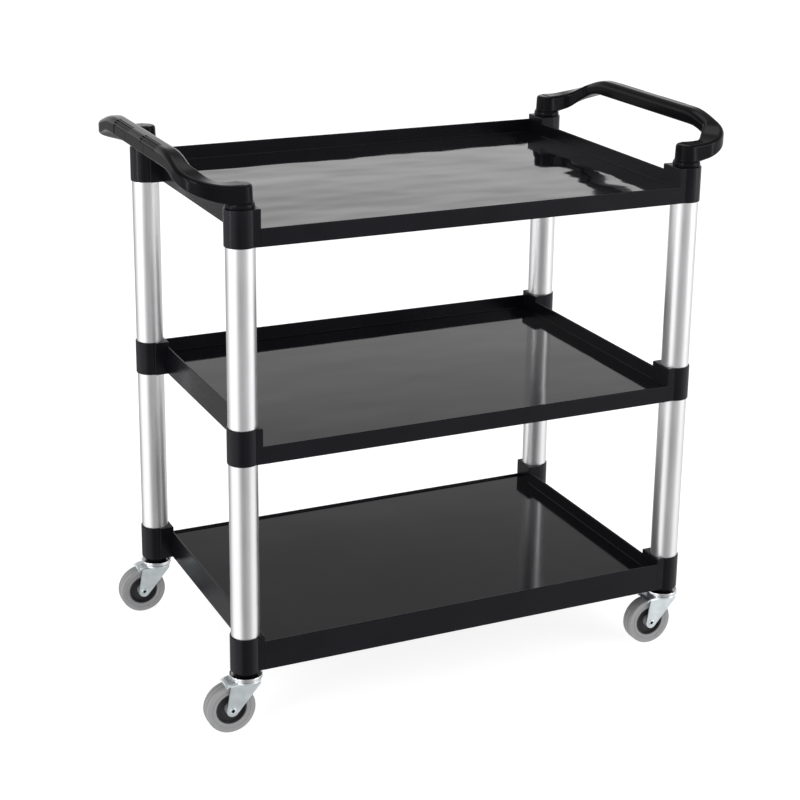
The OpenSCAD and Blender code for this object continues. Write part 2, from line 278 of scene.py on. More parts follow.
def zinc_plate(name, colour):
    """Bright zinc on pressed sheet: small spangles, cloudy passivation, press marks."""
    made = Finish(name)
    made.set(Metallic=1.0)
    spangle = made.cells(420.0)
    cloud = made.noise(70.0, 4.0, 0.6)
    base = made.blend(made.spread(cloud, 0, 1), shade(colour, 0.90), shade(colour, 1.08))
    sparkle = made.spread(spangle, -0.03, 0.05, 0.0, 1.0)
    rough = made.maths("ADD", made.spread(cloud, 0.30, 0.42), sparkle)
    pressed = made.bump(cloud, 0.0003, 0.5)
    normal = made.bump(spangle, 0.00006, 0.5, under=pressed)
    return made.feed(Base_Color=base, Roughness=rough, Normal=normal)


def bright_plate(name, colour, gloss):
    """Polished plated steel with turning lines and light handling haze."""
    made = Finish(name)
    made.set(Metallic=1.0)
    haze = made.noise(90.0, 3.0)
    lines = made.noise(2600.0, 1.0, vector=made.stretched(0.05, 0.05, 1.0))
    base = made.blend(made.spread(haze, 0, 1), shade(colour, 0.9), shade(colour, 1.06))
    rough = made.spread(haze, gloss * 0.8, gloss * 1.3)
    rough = made.maths("ADD", rough, made.spread(lines, -0.02, 0.03))
    return made.feed(Base_Color=base, Roughness=rough, Normal=made.bump(lines, 0.00002, 0.5))


def grey_rubber(name, colour):
    """Non-marking rubber: matt bloom, fine grain and dirt in patches."""
    made = Finish(name)
    made.set(IOR=1.5)
    bloom = made.noise(45.0, 4.0, 0.6)
    grit = made.spread(made.noise(1800.0, 2.0, 0.7), 0, 1, 0.60, 0.75)
    base = made.blend(made.spread(bloom, 0, 1), shade(colour, 0.93), shade(colour, 1.07))
    dirty = made.blend(made.maths("MULTIPLY", grit, 0.12), base, shade(colour, 0.5))
    grain = made.bump(made.noise(2200.0, 2.0), 0.00008, 0.8)
    return made.feed(Base_Color=dirty, Roughness=made.spread(bloom, 0.55, 0.75), Normal=grain)


def pale_floor(name, colour):
    """Studio floor that gives off a little light, so that it stays evenly pale."""
    made = Finish(name)
    made.set(IOR=1.3)
    cloud = made.noise(0.8, 2.0)
    base = made.blend(made.spread(cloud, 0, 1), shade(colour, 0.995), shade(colour, 1.005))
    made.set(Emission_Color=(1, 1, 1, 1), Emission_Strength=0.84)
    return made.feed(Base_Color=base, Roughness=made.spread(cloud, 0.7, 0.8))


_finishes = {}


def finish(name):
    """One shared material for each finish of the trolley."""
    if name in _finishes:
        return _finishes[name]
    c = colours()
    makers = {
        "shelf": lambda: moulded_plastic("shelf_polypropylene", c.shelf, 0.24),
        "top_floor": lambda: tray_floor_plastic("top_tray_floor", c.shelf, 0.045, 1.0),
        "middle_floor": lambda: tray_floor_plastic("middle_tray_floor", c.shelf, 0.06, 0.25),
        "bottom_floor": lambda: tray_floor_plastic("bottom_tray_floor", c.shelf, 0.085, 0.15),
        "handle": lambda: moulded_plastic("handle_moulding", c.handle, 0.17, 1.0, 1.17),
        "tube": lambda: satin_aluminium("satin_aluminium_tube", c.tube),
        "zinc": lambda: zinc_plate("zinc_plated_fork", c.zinc),
        "ring": lambda: bright_plate("bright_swivel_ring", (0.78, 0.79, 0.81), 0.14),
        "steel": lambda: bright_plate("plated_steel", (0.62, 0.63, 0.65), 0.26),
        "rubber": lambda: grey_rubber("grey_tyre_rubber", c.rubber),
        "hub": lambda: moulded_plastic("wheel_centre_plastic", c.hub, 0.42, 2.0),
        # painted shade: dark plastic for the discs that stand in for the shade inside the rivet bores
        "rivet_bore_shade": lambda: moulded_plastic("painted_shade_rivet_bore", c.shelf, 0.6),
        # painted highlight: the hub barrel is the same moulding as the wheel centre, made lighter grey to
        # show the highlight it catches
        "highlight_barrel": lambda: moulded_plastic("painted_highlight_hub_barrel", (0.22, 0.22, 0.225), 0.4, 2.0),
    }
    _finishes[name] = makers[name]()
    return _finishes[name]


# ---------------- shapes


def new_object(name, data):
    """An object in the scene's own collection."""
    made = bpy.data.objects.new(name, data)
    bpy.context.scene.collection.objects.link(made)
    return made


class Shape:
    """Closed shells gathered for one piece, drawn in millimetres."""

    def __init__(self):
        self.points = []
        self.faces = []
        self.marks = []

    def add(self, points, faces, mark=0, matrix=None):
        start = len(self.points)
        for p in points:
            p = Vector(p)
            self.points.append(matrix @ p if matrix else p)
        for face in faces:
            self.faces.append([start + i for i in face])
            self.marks.append(mark)

    def add_mesh(self, bm, mark=0, matrix=None):
        bm.verts.index_update()
        faces = [[v.index for v in f.verts] for f in bm.faces]
        self.add([v.co.copy() for v in bm.verts], faces, mark, matrix)
        bm.free()

    def box(self, low, high, bevel=0.0, steps=2, mark=0, matrix=None):
        """A bar with rounded edges between two corners."""
        bm = bmesh.new()
        bmesh.ops.create_cube(bm, size=1.0)
        size = Vector(high) - Vector(low)
        middle = (Vector(high) + Vector(low)) / 2
        for v in bm.verts:
            v.co = Vector((v.co.x * size.x, v.co.y * size.y, v.co.z * size.z)) + middle
        if bevel:
            bmesh.ops.bevel(
                bm, geom=bm.edges[:], offset=bevel, segments=steps, profile=0.5, affect="EDGES")
        self.add_mesh(bm, mark, matrix)

    def loft(self, rings, mark=0, matrix=None, looped=False):
        """Skin over rings of equal length, ends capped unless looped round."""
        n = len(rings[0])
        count = len(rings)
        points = [p for ring in rings for p in ring]
        faces = []
        for k in range(count if looped else count - 1):
            a, b = k * n, ((k + 1) % count) * n
            for j in range(n):
                i = (j + 1) % n
                faces.append([a + j, a + i, b + i, b + j])
        if not looped:
            faces.append(list(range(n))[::-1])
            faces.append([(count - 1) * n + j for j in range(n)])
        self.add(points, faces, mark, matrix)

    def turned(self, profile, steps=96, mark=0, matrix=None):
        """A closed (radius, height) outline turned round Z; an outline on the axis gets poles."""
        on_axis = profile[0][0] == 0 and profile[-1][0] == 0
        rings = []
        middle = profile[1:-1] if on_axis else profile
        for k in range(steps):
            a = 2 * math.pi * k / steps
            rings.append([(r * math.cos(a), r * math.sin(a), z) for r, z in middle])
        n = len(middle)
        points = [p for ring in rings for p in ring]
        faces = []
        for k in range(steps):
            a, b = k * n, ((k + 1) % steps) * n
            for j in range(n if not on_axis else n - 1):
                i = (j + 1) % n
                faces.append([a + j, b + j, b + i, a + i])
        if on_axis:
            points += [(0, 0, profile[0][1]), (0, 0, profile[-1][1])]
            low, high = steps * n, steps * n + 1
            for k in range(steps):
                a, b = k * n, ((k + 1) % steps) * n
                faces.append([low, b, a])
                faces.append([high, a + n - 1, b + n - 1])
        self.add(points, faces, mark, matrix)

    def piece(self, name, materials):
        """The gathered shells as one mesh object, in metres."""
        mesh = bpy.data.meshes.new(name)
        mesh.from_pydata([p * MM for p in self.points], [], self.faces)
        mesh.polygons.foreach_set("material_index", self.marks)
        for material in materials:
            mesh.materials.append(material)
        return new_object(name, mesh)


def turn_outwards(bm):
    """Turns each closed shell so that it encloses a positive volume."""
    bmesh.ops.recalc_face_normals(bm, faces=bm.faces[:])
    seen = set()
    for seed in bm.faces:
        if seed in seen:
            continue
        shell, todo = [], [seed]
        seen.add(seed)
        while todo:
            face = todo.pop()
            shell.append(face)
            for edge in face.edges:
                for other in edge.link_faces:
                    if other not in seen:
                        seen.add(other)
                        todo.append(other)
        volume = 0.0
        for face in shell:
            a = face.verts[0].co
            for i in range(1, len(face.verts) - 1):
                volume += a.dot(face.verts[i].co.cross(face.verts[i + 1].co))
        if volume < 0:
            bmesh.ops.reverse_faces(bm, faces=shell)


def clean_shading(made, sharp):
    """Faces outwards, crisp edges above an angle, flat faces kept flat between rounded edges."""
    bm = bmesh.new()
    bm.from_mesh(made.data)
    turn_outwards(bm)
    limit = math.radians(sharp)
    for edge in bm.edges:
        edge.smooth = edge.calc_face_angle(0.0) < limit
    for face in bm.faces:
        face.smooth = True
    bm.to_mesh(made.data)
    bm.free()
    weigh = made.modifiers.new("Weigh", "WEIGHTED_NORMAL")
    weigh.keep_sharp = True
    bpy.context.view_layer.update()
    done = made.evaluated_get(bpy.context.evaluated_depsgraph_get())
    mesh = bpy.data.meshes.new_from_object(done)
    made.modifiers.clear()
    old = made.data
    made.data = mesh
    bpy.data.meshes.remove(old)
    mesh.name = made.name


def settle(made, body, slot, *nodes, sharp=32.0):
    """Puts a finished piece on its body, in place of its frame nodes."""
    clean_shading(made, sharp)
    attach(made, body)
    if nodes:
        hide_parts(*nodes)
    return made


def move(x, y, z):
    return Matrix.Translation((x, y, z))


def facing(sx, sy):
    """Mirrors a corner drawn for the +X +Y post onto another post."""
    return Matrix.Diagonal((sx, sy, 1, 1))


def raised(outline, height):
    """A (radius, height) outline moved up."""
    return [(r, z + height) for r, z in outline]


def arc(cx, cz, r, start, end, steps):
    """Points on an arc, in degrees."""
    found = []
    for i in range(steps + 1):
        a = math.radians(start + (end - start) * i / steps)
        found.append((cx + r * math.cos(a), cz + r * math.sin(a)))
    return found


# ---------------- repeated parts


class Repeater:
    """A node tree that places copies of a small part, with named inputs."""

    def __init__(self, name, inputs):
        self.tree = bpy.data.node_groups.new(name, "GeometryNodeTree")
        self.keys = {}
        for label, kind, value in inputs:
            socket = self.tree.interface.new_socket(label, in_out="INPUT", socket_type=kind)
            socket.default_value = value
            self.keys[label] = socket.identifier
        self.tree.interface.new_socket("Geometry", in_out="OUTPUT", socket_type="NodeSocketGeometry")
        self.inlet = self.tree.nodes.new("NodeGroupInput")
        self.outlet = self.tree.nodes.new("NodeGroupOutput")

    def node(self, kind, **values):
        made = self.tree.nodes.new(kind)
        for key, value in values.items():
            setattr(made, key, value)
        return made

    def link(self, source, target):
        self.tree.links.new(source, target)

    def value(self, label):
        return self.inlet.outputs[label]

    def end(self, geometry, material):
        real = self.node("GeometryNodeRealizeInstances")
        paint = self.node("GeometryNodeSetMaterial")
        paint.inputs["Material"].default_value = material
        self.link(geometry, real.inputs["Geometry"])
        self.link(real.outputs["Geometry"], paint.inputs["Geometry"])
        self.link(paint.outputs["Geometry"], self.outlet.inputs["Geometry"])

    def bake(self, name, **values):
        """Runs the tree on an empty mesh and returns a plain mesh object."""
        holder = new_object(name + "_rule", bpy.data.meshes.new(name + "_rule"))
        rule = holder.modifiers.new("Repeat", "NODES")
        rule.node_group = self.tree
        for label, value in values.items():
            rule[self.keys[label.replace("_", " ")]] = value
        bpy.context.view_layer.update()
        done = holder.evaluated_get(bpy.context.evaluated_depsgraph_get())
        mesh = bpy.data.meshes.new_from_object(done)
        holder.modifiers.clear()
        bpy.data.objects.remove(holder)
        mesh.name = name
        if not mesh.polygons:
            raise RuntimeError(f"{name} came out empty")
        return new_object(name, mesh)


def bar_row(material):
    """A row of equal bars along a straight step."""
    rule = Repeater("Bar row", (
        ("Count", "NodeSocketInt", 5),
        ("Start", "NodeSocketVector", (0.0, 0.0, 0.0)),
        ("Step", "NodeSocketVector", (0.1, 0.0, 0.0)),
        ("Size", "NodeSocketVector", (0.01, 0.1, 0.01)),
    ))
    line = rule.node("GeometryNodeMeshLine", mode="OFFSET")
    bar = rule.node("GeometryNodeMeshCube")
    copies = rule.node("GeometryNodeInstanceOnPoints")
    rule.link(rule.value("Count"), line.inputs["Count"])
    rule.link(rule.value("Start"), line.inputs["Start Location"])
    rule.link(rule.value("Step"), line.inputs["Offset"])
    rule.link(rule.value("Size"), bar.inputs["Size"])
    rule.link(line.outputs["Mesh"], copies.inputs["Points"])
    rule.link(bar.outputs["Mesh"], copies.inputs["Instance"])
    rule.end(copies.outputs["Instances"], material)
    return rule


def ball_ring(material):
    """Balls on a level circle."""
    rule = Repeater("Ball ring", (
        ("Count", "NodeSocketInt", 16),
        ("Radius", "NodeSocketFloat", 0.018),
        ("Ball radius", "NodeSocketFloat", 0.0024),
        ("Centre", "NodeSocketVector", (0.0, 0.0, 0.0)),
    ))
    ring = rule.node("GeometryNodeMeshCircle")
    ball = rule.node("GeometryNodeMeshUVSphere")
    copies = rule.node("GeometryNodeInstanceOnPoints")
    turn = rule.node("GeometryNodeTransform")
    ball.inputs["Segments"].default_value = 16
    ball.inputs["Rings"].default_value = 10
    rule.link(rule.value("Count"), ring.inputs["Vertices"])
    rule.link(rule.value("Radius"), ring.inputs["Radius"])
    rule.link(rule.value("Ball radius"), ball.inputs["Radius"])
    rule.link(ring.outputs["Mesh"], copies.inputs["Points"])
    rule.link(ball.outputs["Mesh"], copies.inputs["Instance"])
    rule.link(copies.outputs["Instances"], turn.inputs["Geometry"])
    rule.link(rule.value("Centre"), turn.inputs["Translation"])
    rule.end(turn.outputs["Geometry"], material)
    return rule


# ---------------- shelves

SHELF_OVERHANG = 21.0   # long walls outside the line of the posts
SHELF_SETBACK = 22.0    # end walls inside the line of the posts
LONG_WALL_STOP = 23.5   # ends of the long walls, inside the collars
END_WALL_STOP = 27      # ends of the end walls, inside the corner blocks
BLOCK_LENGTH = 25       # corner block, from the post towards the middle
BLOCK_DEPTH = 28
BLOCK_BEVEL = 1.3
FLOOR_THICKNESS = 3.5
RIB_THICKNESS = 2.4
RIB_END_GAP = 3         # both ends of a rib together
SOCKET_BORE = 22.6
SOCKET_DEPTH = 26.5


def wall_outline(height, s):
    """Wall section as (distance in from the outer face, height) with a cove at the tray floor."""
    wall, floor = s.wall / MM, s.floor_top / MM
    lip = wall / 2 - 0.05
    points = arc(0.8, 0.8, 0.8, 270, 180, 3)
    points += arc(lip, height - lip, lip, 180, 90, 5)
    points += arc(wall - lip, height - lip, lip, 90, 0, 5)
    points += arc(wall + 1.3, floor + 1.3, 1.3, 180, 270, 4)
    points += [(wall + 1.3, floor - 2), (wall, floor - 2)]
    points += arc(wall - 0.8, 0.8, 0.8, 0, -90, 3)
    return points


def collar_outline(s, low, socket_below):
    """Collar section as (radius, height), closed on the axis."""
    r, top = s.collar_radius / MM, s.collar_height / MM
    bore, web = SOCKET_BORE, SOCKET_DEPTH
    if socket_below:
        points = [(0, low + web), (bore, low + web), (bore, low + 0.5), (bore + 0.4, low)]
        points += arc(r - 1.0, low + 1.0, 1.0, -90, 0, 4)
    else:
        points = raised([(0, 0), (15.0, 0), (15.8, 0.4), (r - 3.5, 4.0), (r - 0.6, 8.2), (r, 9.2)], low)
    points += arc(r - 1.1, top - 1.1, 1.1, 0, 90, 5)
    points += [(bore + 0.4, top), (bore, top - 0.5), (bore, top - web), (0, top - web)]
    return points


def draw_shelf(node, low_side, colour_of_floor):
    """One tray: walls, floor, corner blocks and collars."""
    s = sizes()
    low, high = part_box(node)
    base = high.z / MM - s.collar_height / MM
    hang = low.z / MM - base
    px, py = abs(POST.x) / MM, abs(POST.y) / MM
    out_y = py + SHELF_OVERHANG
    out_x = px - SHELF_SETBACK
    tall, short = s.tall_wall / MM, s.low_wall / MM
    floor = s.floor_top / MM
    up = move(0, 0, base)
    shape = Shape()
    for side in (-1, 1):
        height = short if side == low_side else tall
        outline = wall_outline(height, s)
        ends = (-px + LONG_WALL_STOP, px - LONG_WALL_STOP)
        shape.loft([[(x, side * (out_y - d), z) for d, z in outline] for x in ends], matrix=up)
        outline = wall_outline(tall, s)
        ends = (-py + END_WALL_STOP, py - END_WALL_STOP)
        shape.loft([[(side * (out_x - d), y, z) for d, z in outline] for y in ends], matrix=up)
    floor_low = (-out_x + 0.6, -out_y + 0.6, floor - FLOOR_THICKNESS)
    floor_high = (out_x - 0.6, out_y - 0.6, floor)
    shape.box(floor_low, floor_high, mark=1, matrix=up)
    block_low = (-BLOCK_LENGTH, -BLOCK_DEPTH, 0)
    block_high = (0, SHELF_OVERHANG, s.collar_height / MM)
    for sx in (-1, 1):
        for sy in (-1, 1):
            corner = up @ move(sx * px, sy * py, 0) @ facing(sx, sy)
            shape.box(block_low, block_high, BLOCK_BEVEL, 3, matrix=corner)
            shape.turned(collar_outline(s, hang, hang > -1), matrix=corner)
    settle(shape.piece(node + "_tray", [finish("shelf"), finish(colour_of_floor)]),
           "frame", "shelf_plastic", node)
    return base, out_x, out_y


def draw_ribs(node, base, out_x, out_y):
    """The crossed ribs under one tray."""
    s = sizes()
    count = s.rib_count
    depth = s.rib_depth / MM
    level = base + s.floor_top / MM - FLOOR_THICKNESS - depth / 2 + 0.3
    step = 2 * out_x / (count + 1)
    rows = (
        ("_cross_ribs", count, (-out_x + step, 0, level), (step, 0, 0),
         (RIB_THICKNESS, 2 * out_y - RIB_END_GAP, depth)),
        ("_long_ribs", 3, (0, -out_y / 2, level), (0, out_y / 2, 0),
         (2 * out_x - RIB_END_GAP, RIB_THICKNESS, depth)),
    )
    for label, number, start, offset, size in rows:
        made = bar_row(finish("shelf")).bake(
            node + label, Count=number, Start=[v * MM for v in start],
            Step=[v * MM for v in offset], Size=[v * MM for v in size])
        settle(made, "frame", "shelf_plastic")


class TROLLEY_OT_shelves(bpy.types.Operator):
    """Moulded trays with coved floors, corner collars and ribs underneath"""
    bl_idname = "trolley.shelves"
    bl_label = "Build shelves"

    def execute(self, context):
        plan = (("bottom_shelf", 1, "bottom_floor"), ("middle_shelf", -1, "middle_floor"),
                ("top_shelf", -1, "top_floor"))
        for node, low_side, floor in plan:
            draw_ribs(node, *draw_shelf(node, low_side, floor))
        return {"FINISHED"}


# ---------------- posts


class TROLLEY_OT_posts(bpy.types.Operator):
    """Satin aluminium on the straight tubes between the shelves"""
    bl_idname = "trolley.posts"
    bl_label = "Finish posts"

    def execute(self, context):
        for corner in CORNERS:
            for level in ("lower", "upper"):
                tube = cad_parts[f"{corner}_{level}_tube"]
                tube.data.materials.clear()
                tube.data.materials.append(finish("tube"))
        return {"FINISHED"}


# ---------------- handles


def ease(t):
    """Smooth step from 0 to 1."""
    c = min(1.0, max(0.0, t))
    return c * c * (3 - 2 * c)


class HandlePath:
    """Half a handle: u runs outwards from the post and v towards the middle of the grip."""

    reach = 87.0            # outer face of the grip, from the post
    bend = 60.0             # outer radius between arm and grip
    width = 30.0
    arm_gap, arm_depth, grip_depth = 7, 29, 26
    panel_from, panel_to, line_at = 107.0, 29.0, 47.0   # from the middle of the grip

    def __init__(self, s, post_pitch):
        self.s = s
        self.half = post_pitch / 2
        self.collar_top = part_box("top_shelf")[1].z / MM
        self.arm_low = self.collar_top + self.arm_gap
        self.arm_top = self.arm_low + self.arm_depth
        self.grip_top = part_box("right_handle")[1].z / MM
        self.grip_low = self.grip_top - self.grip_depth
        self.panel_start = self.half - self.panel_from
        self.panel_end = self.half - self.panel_to
        self.line = self.half - self.line_at

    def groove(self, around, v):
        """Depth of the grooves at an angle round the shoulder, 0 outwards and 90 up."""
        fade = ease((v - self.panel_start - 0.9) / 0.9) * ease((self.panel_end - v) / 0.9)
        if fade <= 0:
            return 0.0
        for i in range(self.s.groove_count):
            off = abs(around - 12 - 26 * i) / 7.0
            if off < 1:
                return self.s.groove_depth / MM * fade * (1 - off ** 4)
        return 0.0

    def section(self, width, run, v):
        """Points as (distance in from the outer face, height), rising with the run from the bend."""
        low = self.arm_low + (self.grip_low - self.arm_low) * ease((run + 20) / 130)
        top = self.arm_top + (self.grip_top - self.arm_top) * ease((run + 15) / 140)
        r = 5 + 5.5 * ease(run / 110)
        points = arc(width - 4, low + 4, 4, -90, 0, 6)
        points += arc(width - r, top - r, r, 0, 90, 12)
        for k in range(5):
            around = 98 - 1.6 * k
            points.append((r + r * math.radians(around - 90), top - self.groove(around, v)))
        for k in range(46):
            around = 90 - 2 * k
            deep = r - self.groove(around, v)
            a = math.radians(around)
            points.append((r - deep * math.cos(a), top - r + deep * math.sin(a)))
        points += arc(4, low + 4, 4, 180, 270, 6)
        return points

    def rings(self):
        """Sections along the arm, round the bend and along the grip."""
        arm_end = self.reach - self.bend
        bend_at = self.bend - self.width / 2
        stations = []
        for u in (-2, 7, 17, arm_end):
            width = self.width + 6 * (arm_end - u) / (arm_end + 2)
            stations.append(((u, -width / 2), 0, width, u - arm_end, -self.width / 2))
        for k in range(1, 31):
            turn = 3 * k
            a = math.radians(turn)
            place = (arm_end + self.bend * math.sin(a), bend_at - self.bend * math.cos(a))
            stations.append((place, turn, self.width + 7 * math.sin(2 * a), bend_at * a, place[1]))
        runs = [60, 75, 90, 105]
        runs += [self.panel_start + d for d in (-6, -0.3, 0.3, 0.9, 1.2, 1.5, 1.8, 8)]
        runs += [self.panel_end - d for d in (1.5, 0.9, 0.6, 0.3, 0.0)]
        runs += [self.line + d for d in (-1.0, -0.45, 0.45, 1.0)] + [self.half]
        for v in sorted(runs):
            along = bend_at * math.pi / 2 + v - bend_at
            stations.append(((self.reach, v), 90, self.width, along, v))
        rings = []
        for (u, v), turn, width, run, along in stations:
            inset = 0.8 if along > self.panel_start else 0.0
            if turn == 90 and abs(along - self.line) < 0.6:
                inset += 0.5
            a = math.radians(turn)
            ring = []
            for d, z in self.section(width, run, along):
                d = max(d, inset) if d < 6 else d
                ring.append((u - d * math.sin(a), v + d * math.cos(a), z))
            rings.append(ring)
        return rings


def draw_handle(side):
    """One push handle in a single moulding, on the left (-1) or the right (1)."""
    s = sizes()
    px, py = abs(POST.x) / MM, abs(POST.y) / MM
    path = HandlePath(s, 2 * py)
    half = path.rings()
    whole = half + [[(u, 2 * py - v, z) for u, v, z in ring] for ring in reversed(half[:-1])]
    shape = Shape()
    place = facing(side, 1) @ move(px, -py, 0)
    shape.loft(whole, matrix=place)
    top = path.arm_top - path.collar_top
    pillar = [(0, -26), (21.6, -26)] + arc(21.5, -25.0, 1.0, -90, 0, 3)
    pillar += [(22.45, -0.3), (21.2, 0.02), (21.2, 0.9), (22.1, 1.2), (22.35, 2.0), (22.2, 5.0)]
    pillar += [(21.6, 7.2), (20.6, 8.9), (19.6, 10.0), (19.3, 11.5), (18.48, top - 4), (17.9, top - 2.9)]
    pillar += [(17.2, top - 1.8), (16.2, top - 1.1), (15.0, top - 0.75), (0, top - 0.7)]
    for v in (0, 2 * py):
        shape.turned(pillar, matrix=place @ move(0, v, path.collar_top))
    name = "right_handle" if side > 0 else "left_handle"
    settle(shape.piece(name + "_moulding", [finish("handle")]),
           "frame", "handle_plastic", name, sharp=38)


class TROLLEY_OT_handles(bpy.types.Operator):
    """Push handle at each end: arms, grip with grooved panels, bosses and feet"""
    bl_idname = "trolley.handles"
    bl_label = "Build handles"

    def execute(self, context):
        for side in (-1, 1):
            draw_handle(side)
        return {"FINISHED"}


# ---------------- casters


LEG_TOP = 78.5      # where the legs start to bend into the crown
LEG_REAR = -31.0    # rear and front edges of the legs at the crown, from the swivel
LEG_FRONT = 19.0
LEG_END = 10.0      # rounding of a leg below its axle
HOOD_AT = -31.6     # centre of the rear hood's bend
HOOD_BEND = 7.4
HOOD_HALF = 15.9
BALL_CIRCLE = 18.0 * MM


def tangent(px, pz, cx, cz, r, side):
    """Angle on a circle where a line from a point outside touches it, in degrees."""
    away = math.atan2(pz - cz, px - cx)
    open_angle = math.acos(r / math.hypot(px - cx, pz - cz))
    return math.degrees(away + side * open_angle)


def leg_range(z, wheel_x, wheel_z):
    """Rear and front edge of the fork's leg at a height."""
    r = LEG_END
    found = []
    for corner_x, side in ((LEG_REAR, 1), (LEG_FRONT, -1)):
        a = math.radians(tangent(corner_x, LEG_TOP, wheel_x, wheel_z, r, side))
        tx, tz = wheel_x + r * math.cos(a), wheel_z + r * math.sin(a)
        if z >= LEG_TOP:
            x = corner_x
        elif z > tz:
            x = tx + (corner_x - tx) * (z - tz) / (LEG_TOP - tz)
        else:
            reach = math.sqrt(max(0.0, r * r - (z - wheel_z) ** 2))
            x = wheel_x - reach if side > 0 else wheel_x + reach
        found.append(x)
    return found


def sheet_ring(x0, x1, y, z, ny, nz, thick):
    """Section across a pressed strip: rounded cut edges, outer face at (y, z)."""
    e = min(0.7, (x1 - x0) / 4)
    flat = [(x0 + e, 0), (x0 + e * 0.3, -e * 0.3), (x0, -e), (x0, -thick + 0.3), (x0 + 0.3, -thick),
            (x1 - 0.3, -thick), (x1, -thick + 0.3), (x1, -e), (x1 - e * 0.3, -e * 0.3), (x1 - e, 0)]
    return [(x, y + ny * d, z + nz * d) for x, d in flat]


def draw_fork(corner):
    """One pressed fork: two legs joined over the crown, the swivel disc and the rear hood."""
    post = post_of(corner) / MM
    wheel = axle_of(corner) / MM - post
    half = 17.0
    thick = 2.5
    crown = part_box(corner + "_fork")[1].z / MM
    bend = 4.5
    stations = []
    for a in range(-88, 1, 8):
        stations.append((half, wheel.z + LEG_END * math.sin(math.radians(a)), 1, 0))
    for z in (46, 52, 58, 64, 70, 75, LEG_TOP):
        stations.append((half, z, 1, 0))
    for a in range(0, 91, 15):
        b = math.radians(a)
        stations.append((half - bend + bend * math.cos(b), crown - bend + bend * math.sin(b),
                         math.cos(b), math.sin(b)))
    rings = []
    for y, z, ny, nz in stations:
        x0, x1 = leg_range(z, wheel.x, wheel.z)
        rings.append(sheet_ring(x0, x1, y, z, ny, nz, thick))
    for y in (6, -6):
        rings.append(sheet_ring(LEG_REAR, LEG_FRONT, y, crown, 0, 1, thick))
    back = [[(x, -y, z) for x, y, z in ring] for ring in reversed(rings[:-2])]
    shape = Shape()
    at = move(post.x, post.y, 0)
    shape.loft(rings + back, matrix=at)
    disc = [(0, crown - 2.7), (23.5, crown - 2.7)] + arc(23.5, crown - 1.7, 1.0, -90, 0, 3)
    disc += arc(23.5, crown - 1.0, 1.0, 0, 90, 4) + [(0, crown)]
    shape.turned(disc, matrix=at)
    hood = []
    lip = [(-24.0, crown)] + arc(HOOD_AT, crown - HOOD_BEND, HOOD_BEND, 90, 148, 8)
    under = [(-24.0, crown - thick)]
    under += arc(HOOD_AT, crown - HOOD_BEND, HOOD_BEND - thick, 90, 148, 8)
    outline = lip + under[::-1]
    for k in range(13):
        y = -HOOD_HALF + 2 * HOOD_HALF * k / 12
        dip = 2.2 * (abs(y) / HOOD_HALF) ** 4
        hood.append([(x, y, z - (dip if x < -30 else 0)) for x, z in outline])
    shape.loft(hood, matrix=at)
    settle(shape.piece(corner + "_fork_pressing", [finish("zinc")]),
           corner + "_swivel", "fork_zinc", corner + "_fork", sharp=40)


class TROLLEY_OT_forks(bpy.types.Operator):
    """Pressed caster forks with rounded legs, crown and rear hood"""
    bl_idname = "trolley.forks"
    bl_label = "Build forks"

    def execute(self, context):
        for corner in CORNERS:
            draw_fork(corner)
        return {"FINISHED"}


def draw_swivel(corner):
    """Cover dish, lower race, stem and balls, drawn up from the top of the fork's crown."""
    s = sizes()
    post = post_of(corner) / MM
    crown = round(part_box(corner + "_lower_race")[0].z / MM, 3)
    at = move(post.x, post.y, 0)
    shape = Shape()
    cover = [(5.6, 6.25), (23.9, 6.25), (24.42, 5.4), (24.42, 2.4), (24.8, 2.02), (25.6, 2.02)]
    cover += [(25.98, 2.4), (25.98, 4.3), (25.6, 4.6), (25.6, 5.1), (25.98, 5.4), (25.98, 7.3)]
    cover += arc(25.4, 7.45, 0.57, 0, 120, 4)
    cover += [(24.7, 7.5), (24.2, 6.9), (22.6, 6.7), (15.1, 6.98), (5.6, 6.98)]
    shape.turned(raised(cover, crown), matrix=at)
    settle(shape.piece(corner + "_cover_dish", [finish("ring")]),
           "frame", "ring_chrome", corner + "_cover_ring", sharp=34)

    shape = Shape()
    race = [(10.05, 0.02), (24.6, 0.02)] + arc(24.6, 0.6, 0.58, -90, 90, 6)
    race += [(23.7, 1.25), (23.5, 2.0), (23.0, 2.38), (19.1, 2.38)]
    race += arc(18.0, 4.4, 2.3, -61, -119, 6) + [(10.05, 2.38)]
    shape.turned(raised(race, crown), matrix=at)
    settle(shape.piece(corner + "_race_ring", [finish("ring")]),
           corner + "_swivel", "ring_chrome", corner + "_lower_race", sharp=34)

    shape = Shape()
    stem = [(0, -7.4), (6.6, -7.4), (8.3, -6.5), (8.9, -5.3), (8.9, -3.1), (5.5, -3.05)]
    stem += [(5.5, 52.0), (4.6, 52.95), (0, 52.95)]
    shape.turned(raised(stem, crown), 48, matrix=at)
    settle(shape.piece(corner + "_stem_rivet", [finish("steel")]),
           "frame", "steel_bright", corner + "_stem")

    low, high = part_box(corner + "_balls")
    centre = centre_of(corner + "_balls")
    made = ball_ring(finish("steel")).bake(
        corner + "_ball_row", Count=s.ball_count, Radius=BALL_CIRCLE,
        Ball_radius=(high.z - low.z) / 2, Centre=centre)
    settle(made, "frame", "steel_bright", corner + "_balls", sharp=60)


class TROLLEY_OT_swivels(bpy.types.Operator):
    """Swivel heads: cover dish, race, bearing balls and stem"""
    bl_idname = "trolley.swivels"
    bl_label = "Build swivels"

    def execute(self, context):
        for corner in CORNERS:
            draw_swivel(corner)
        return {"FINISHED"}


def mirrored_outline(half):
    """Completes an outline drawn for the +Y side, first to last, with its -Y side."""
    return half + [(r, -y) for r, y in reversed(half)]


def on_axle(corner):
    """Turns a piece drawn round Z onto one wheel's axle."""
    wheel = axle_of(corner) / MM
    return move(wheel.x, wheel.y, wheel.z) @ Matrix.Rotation(math.radians(90), 4, "X")


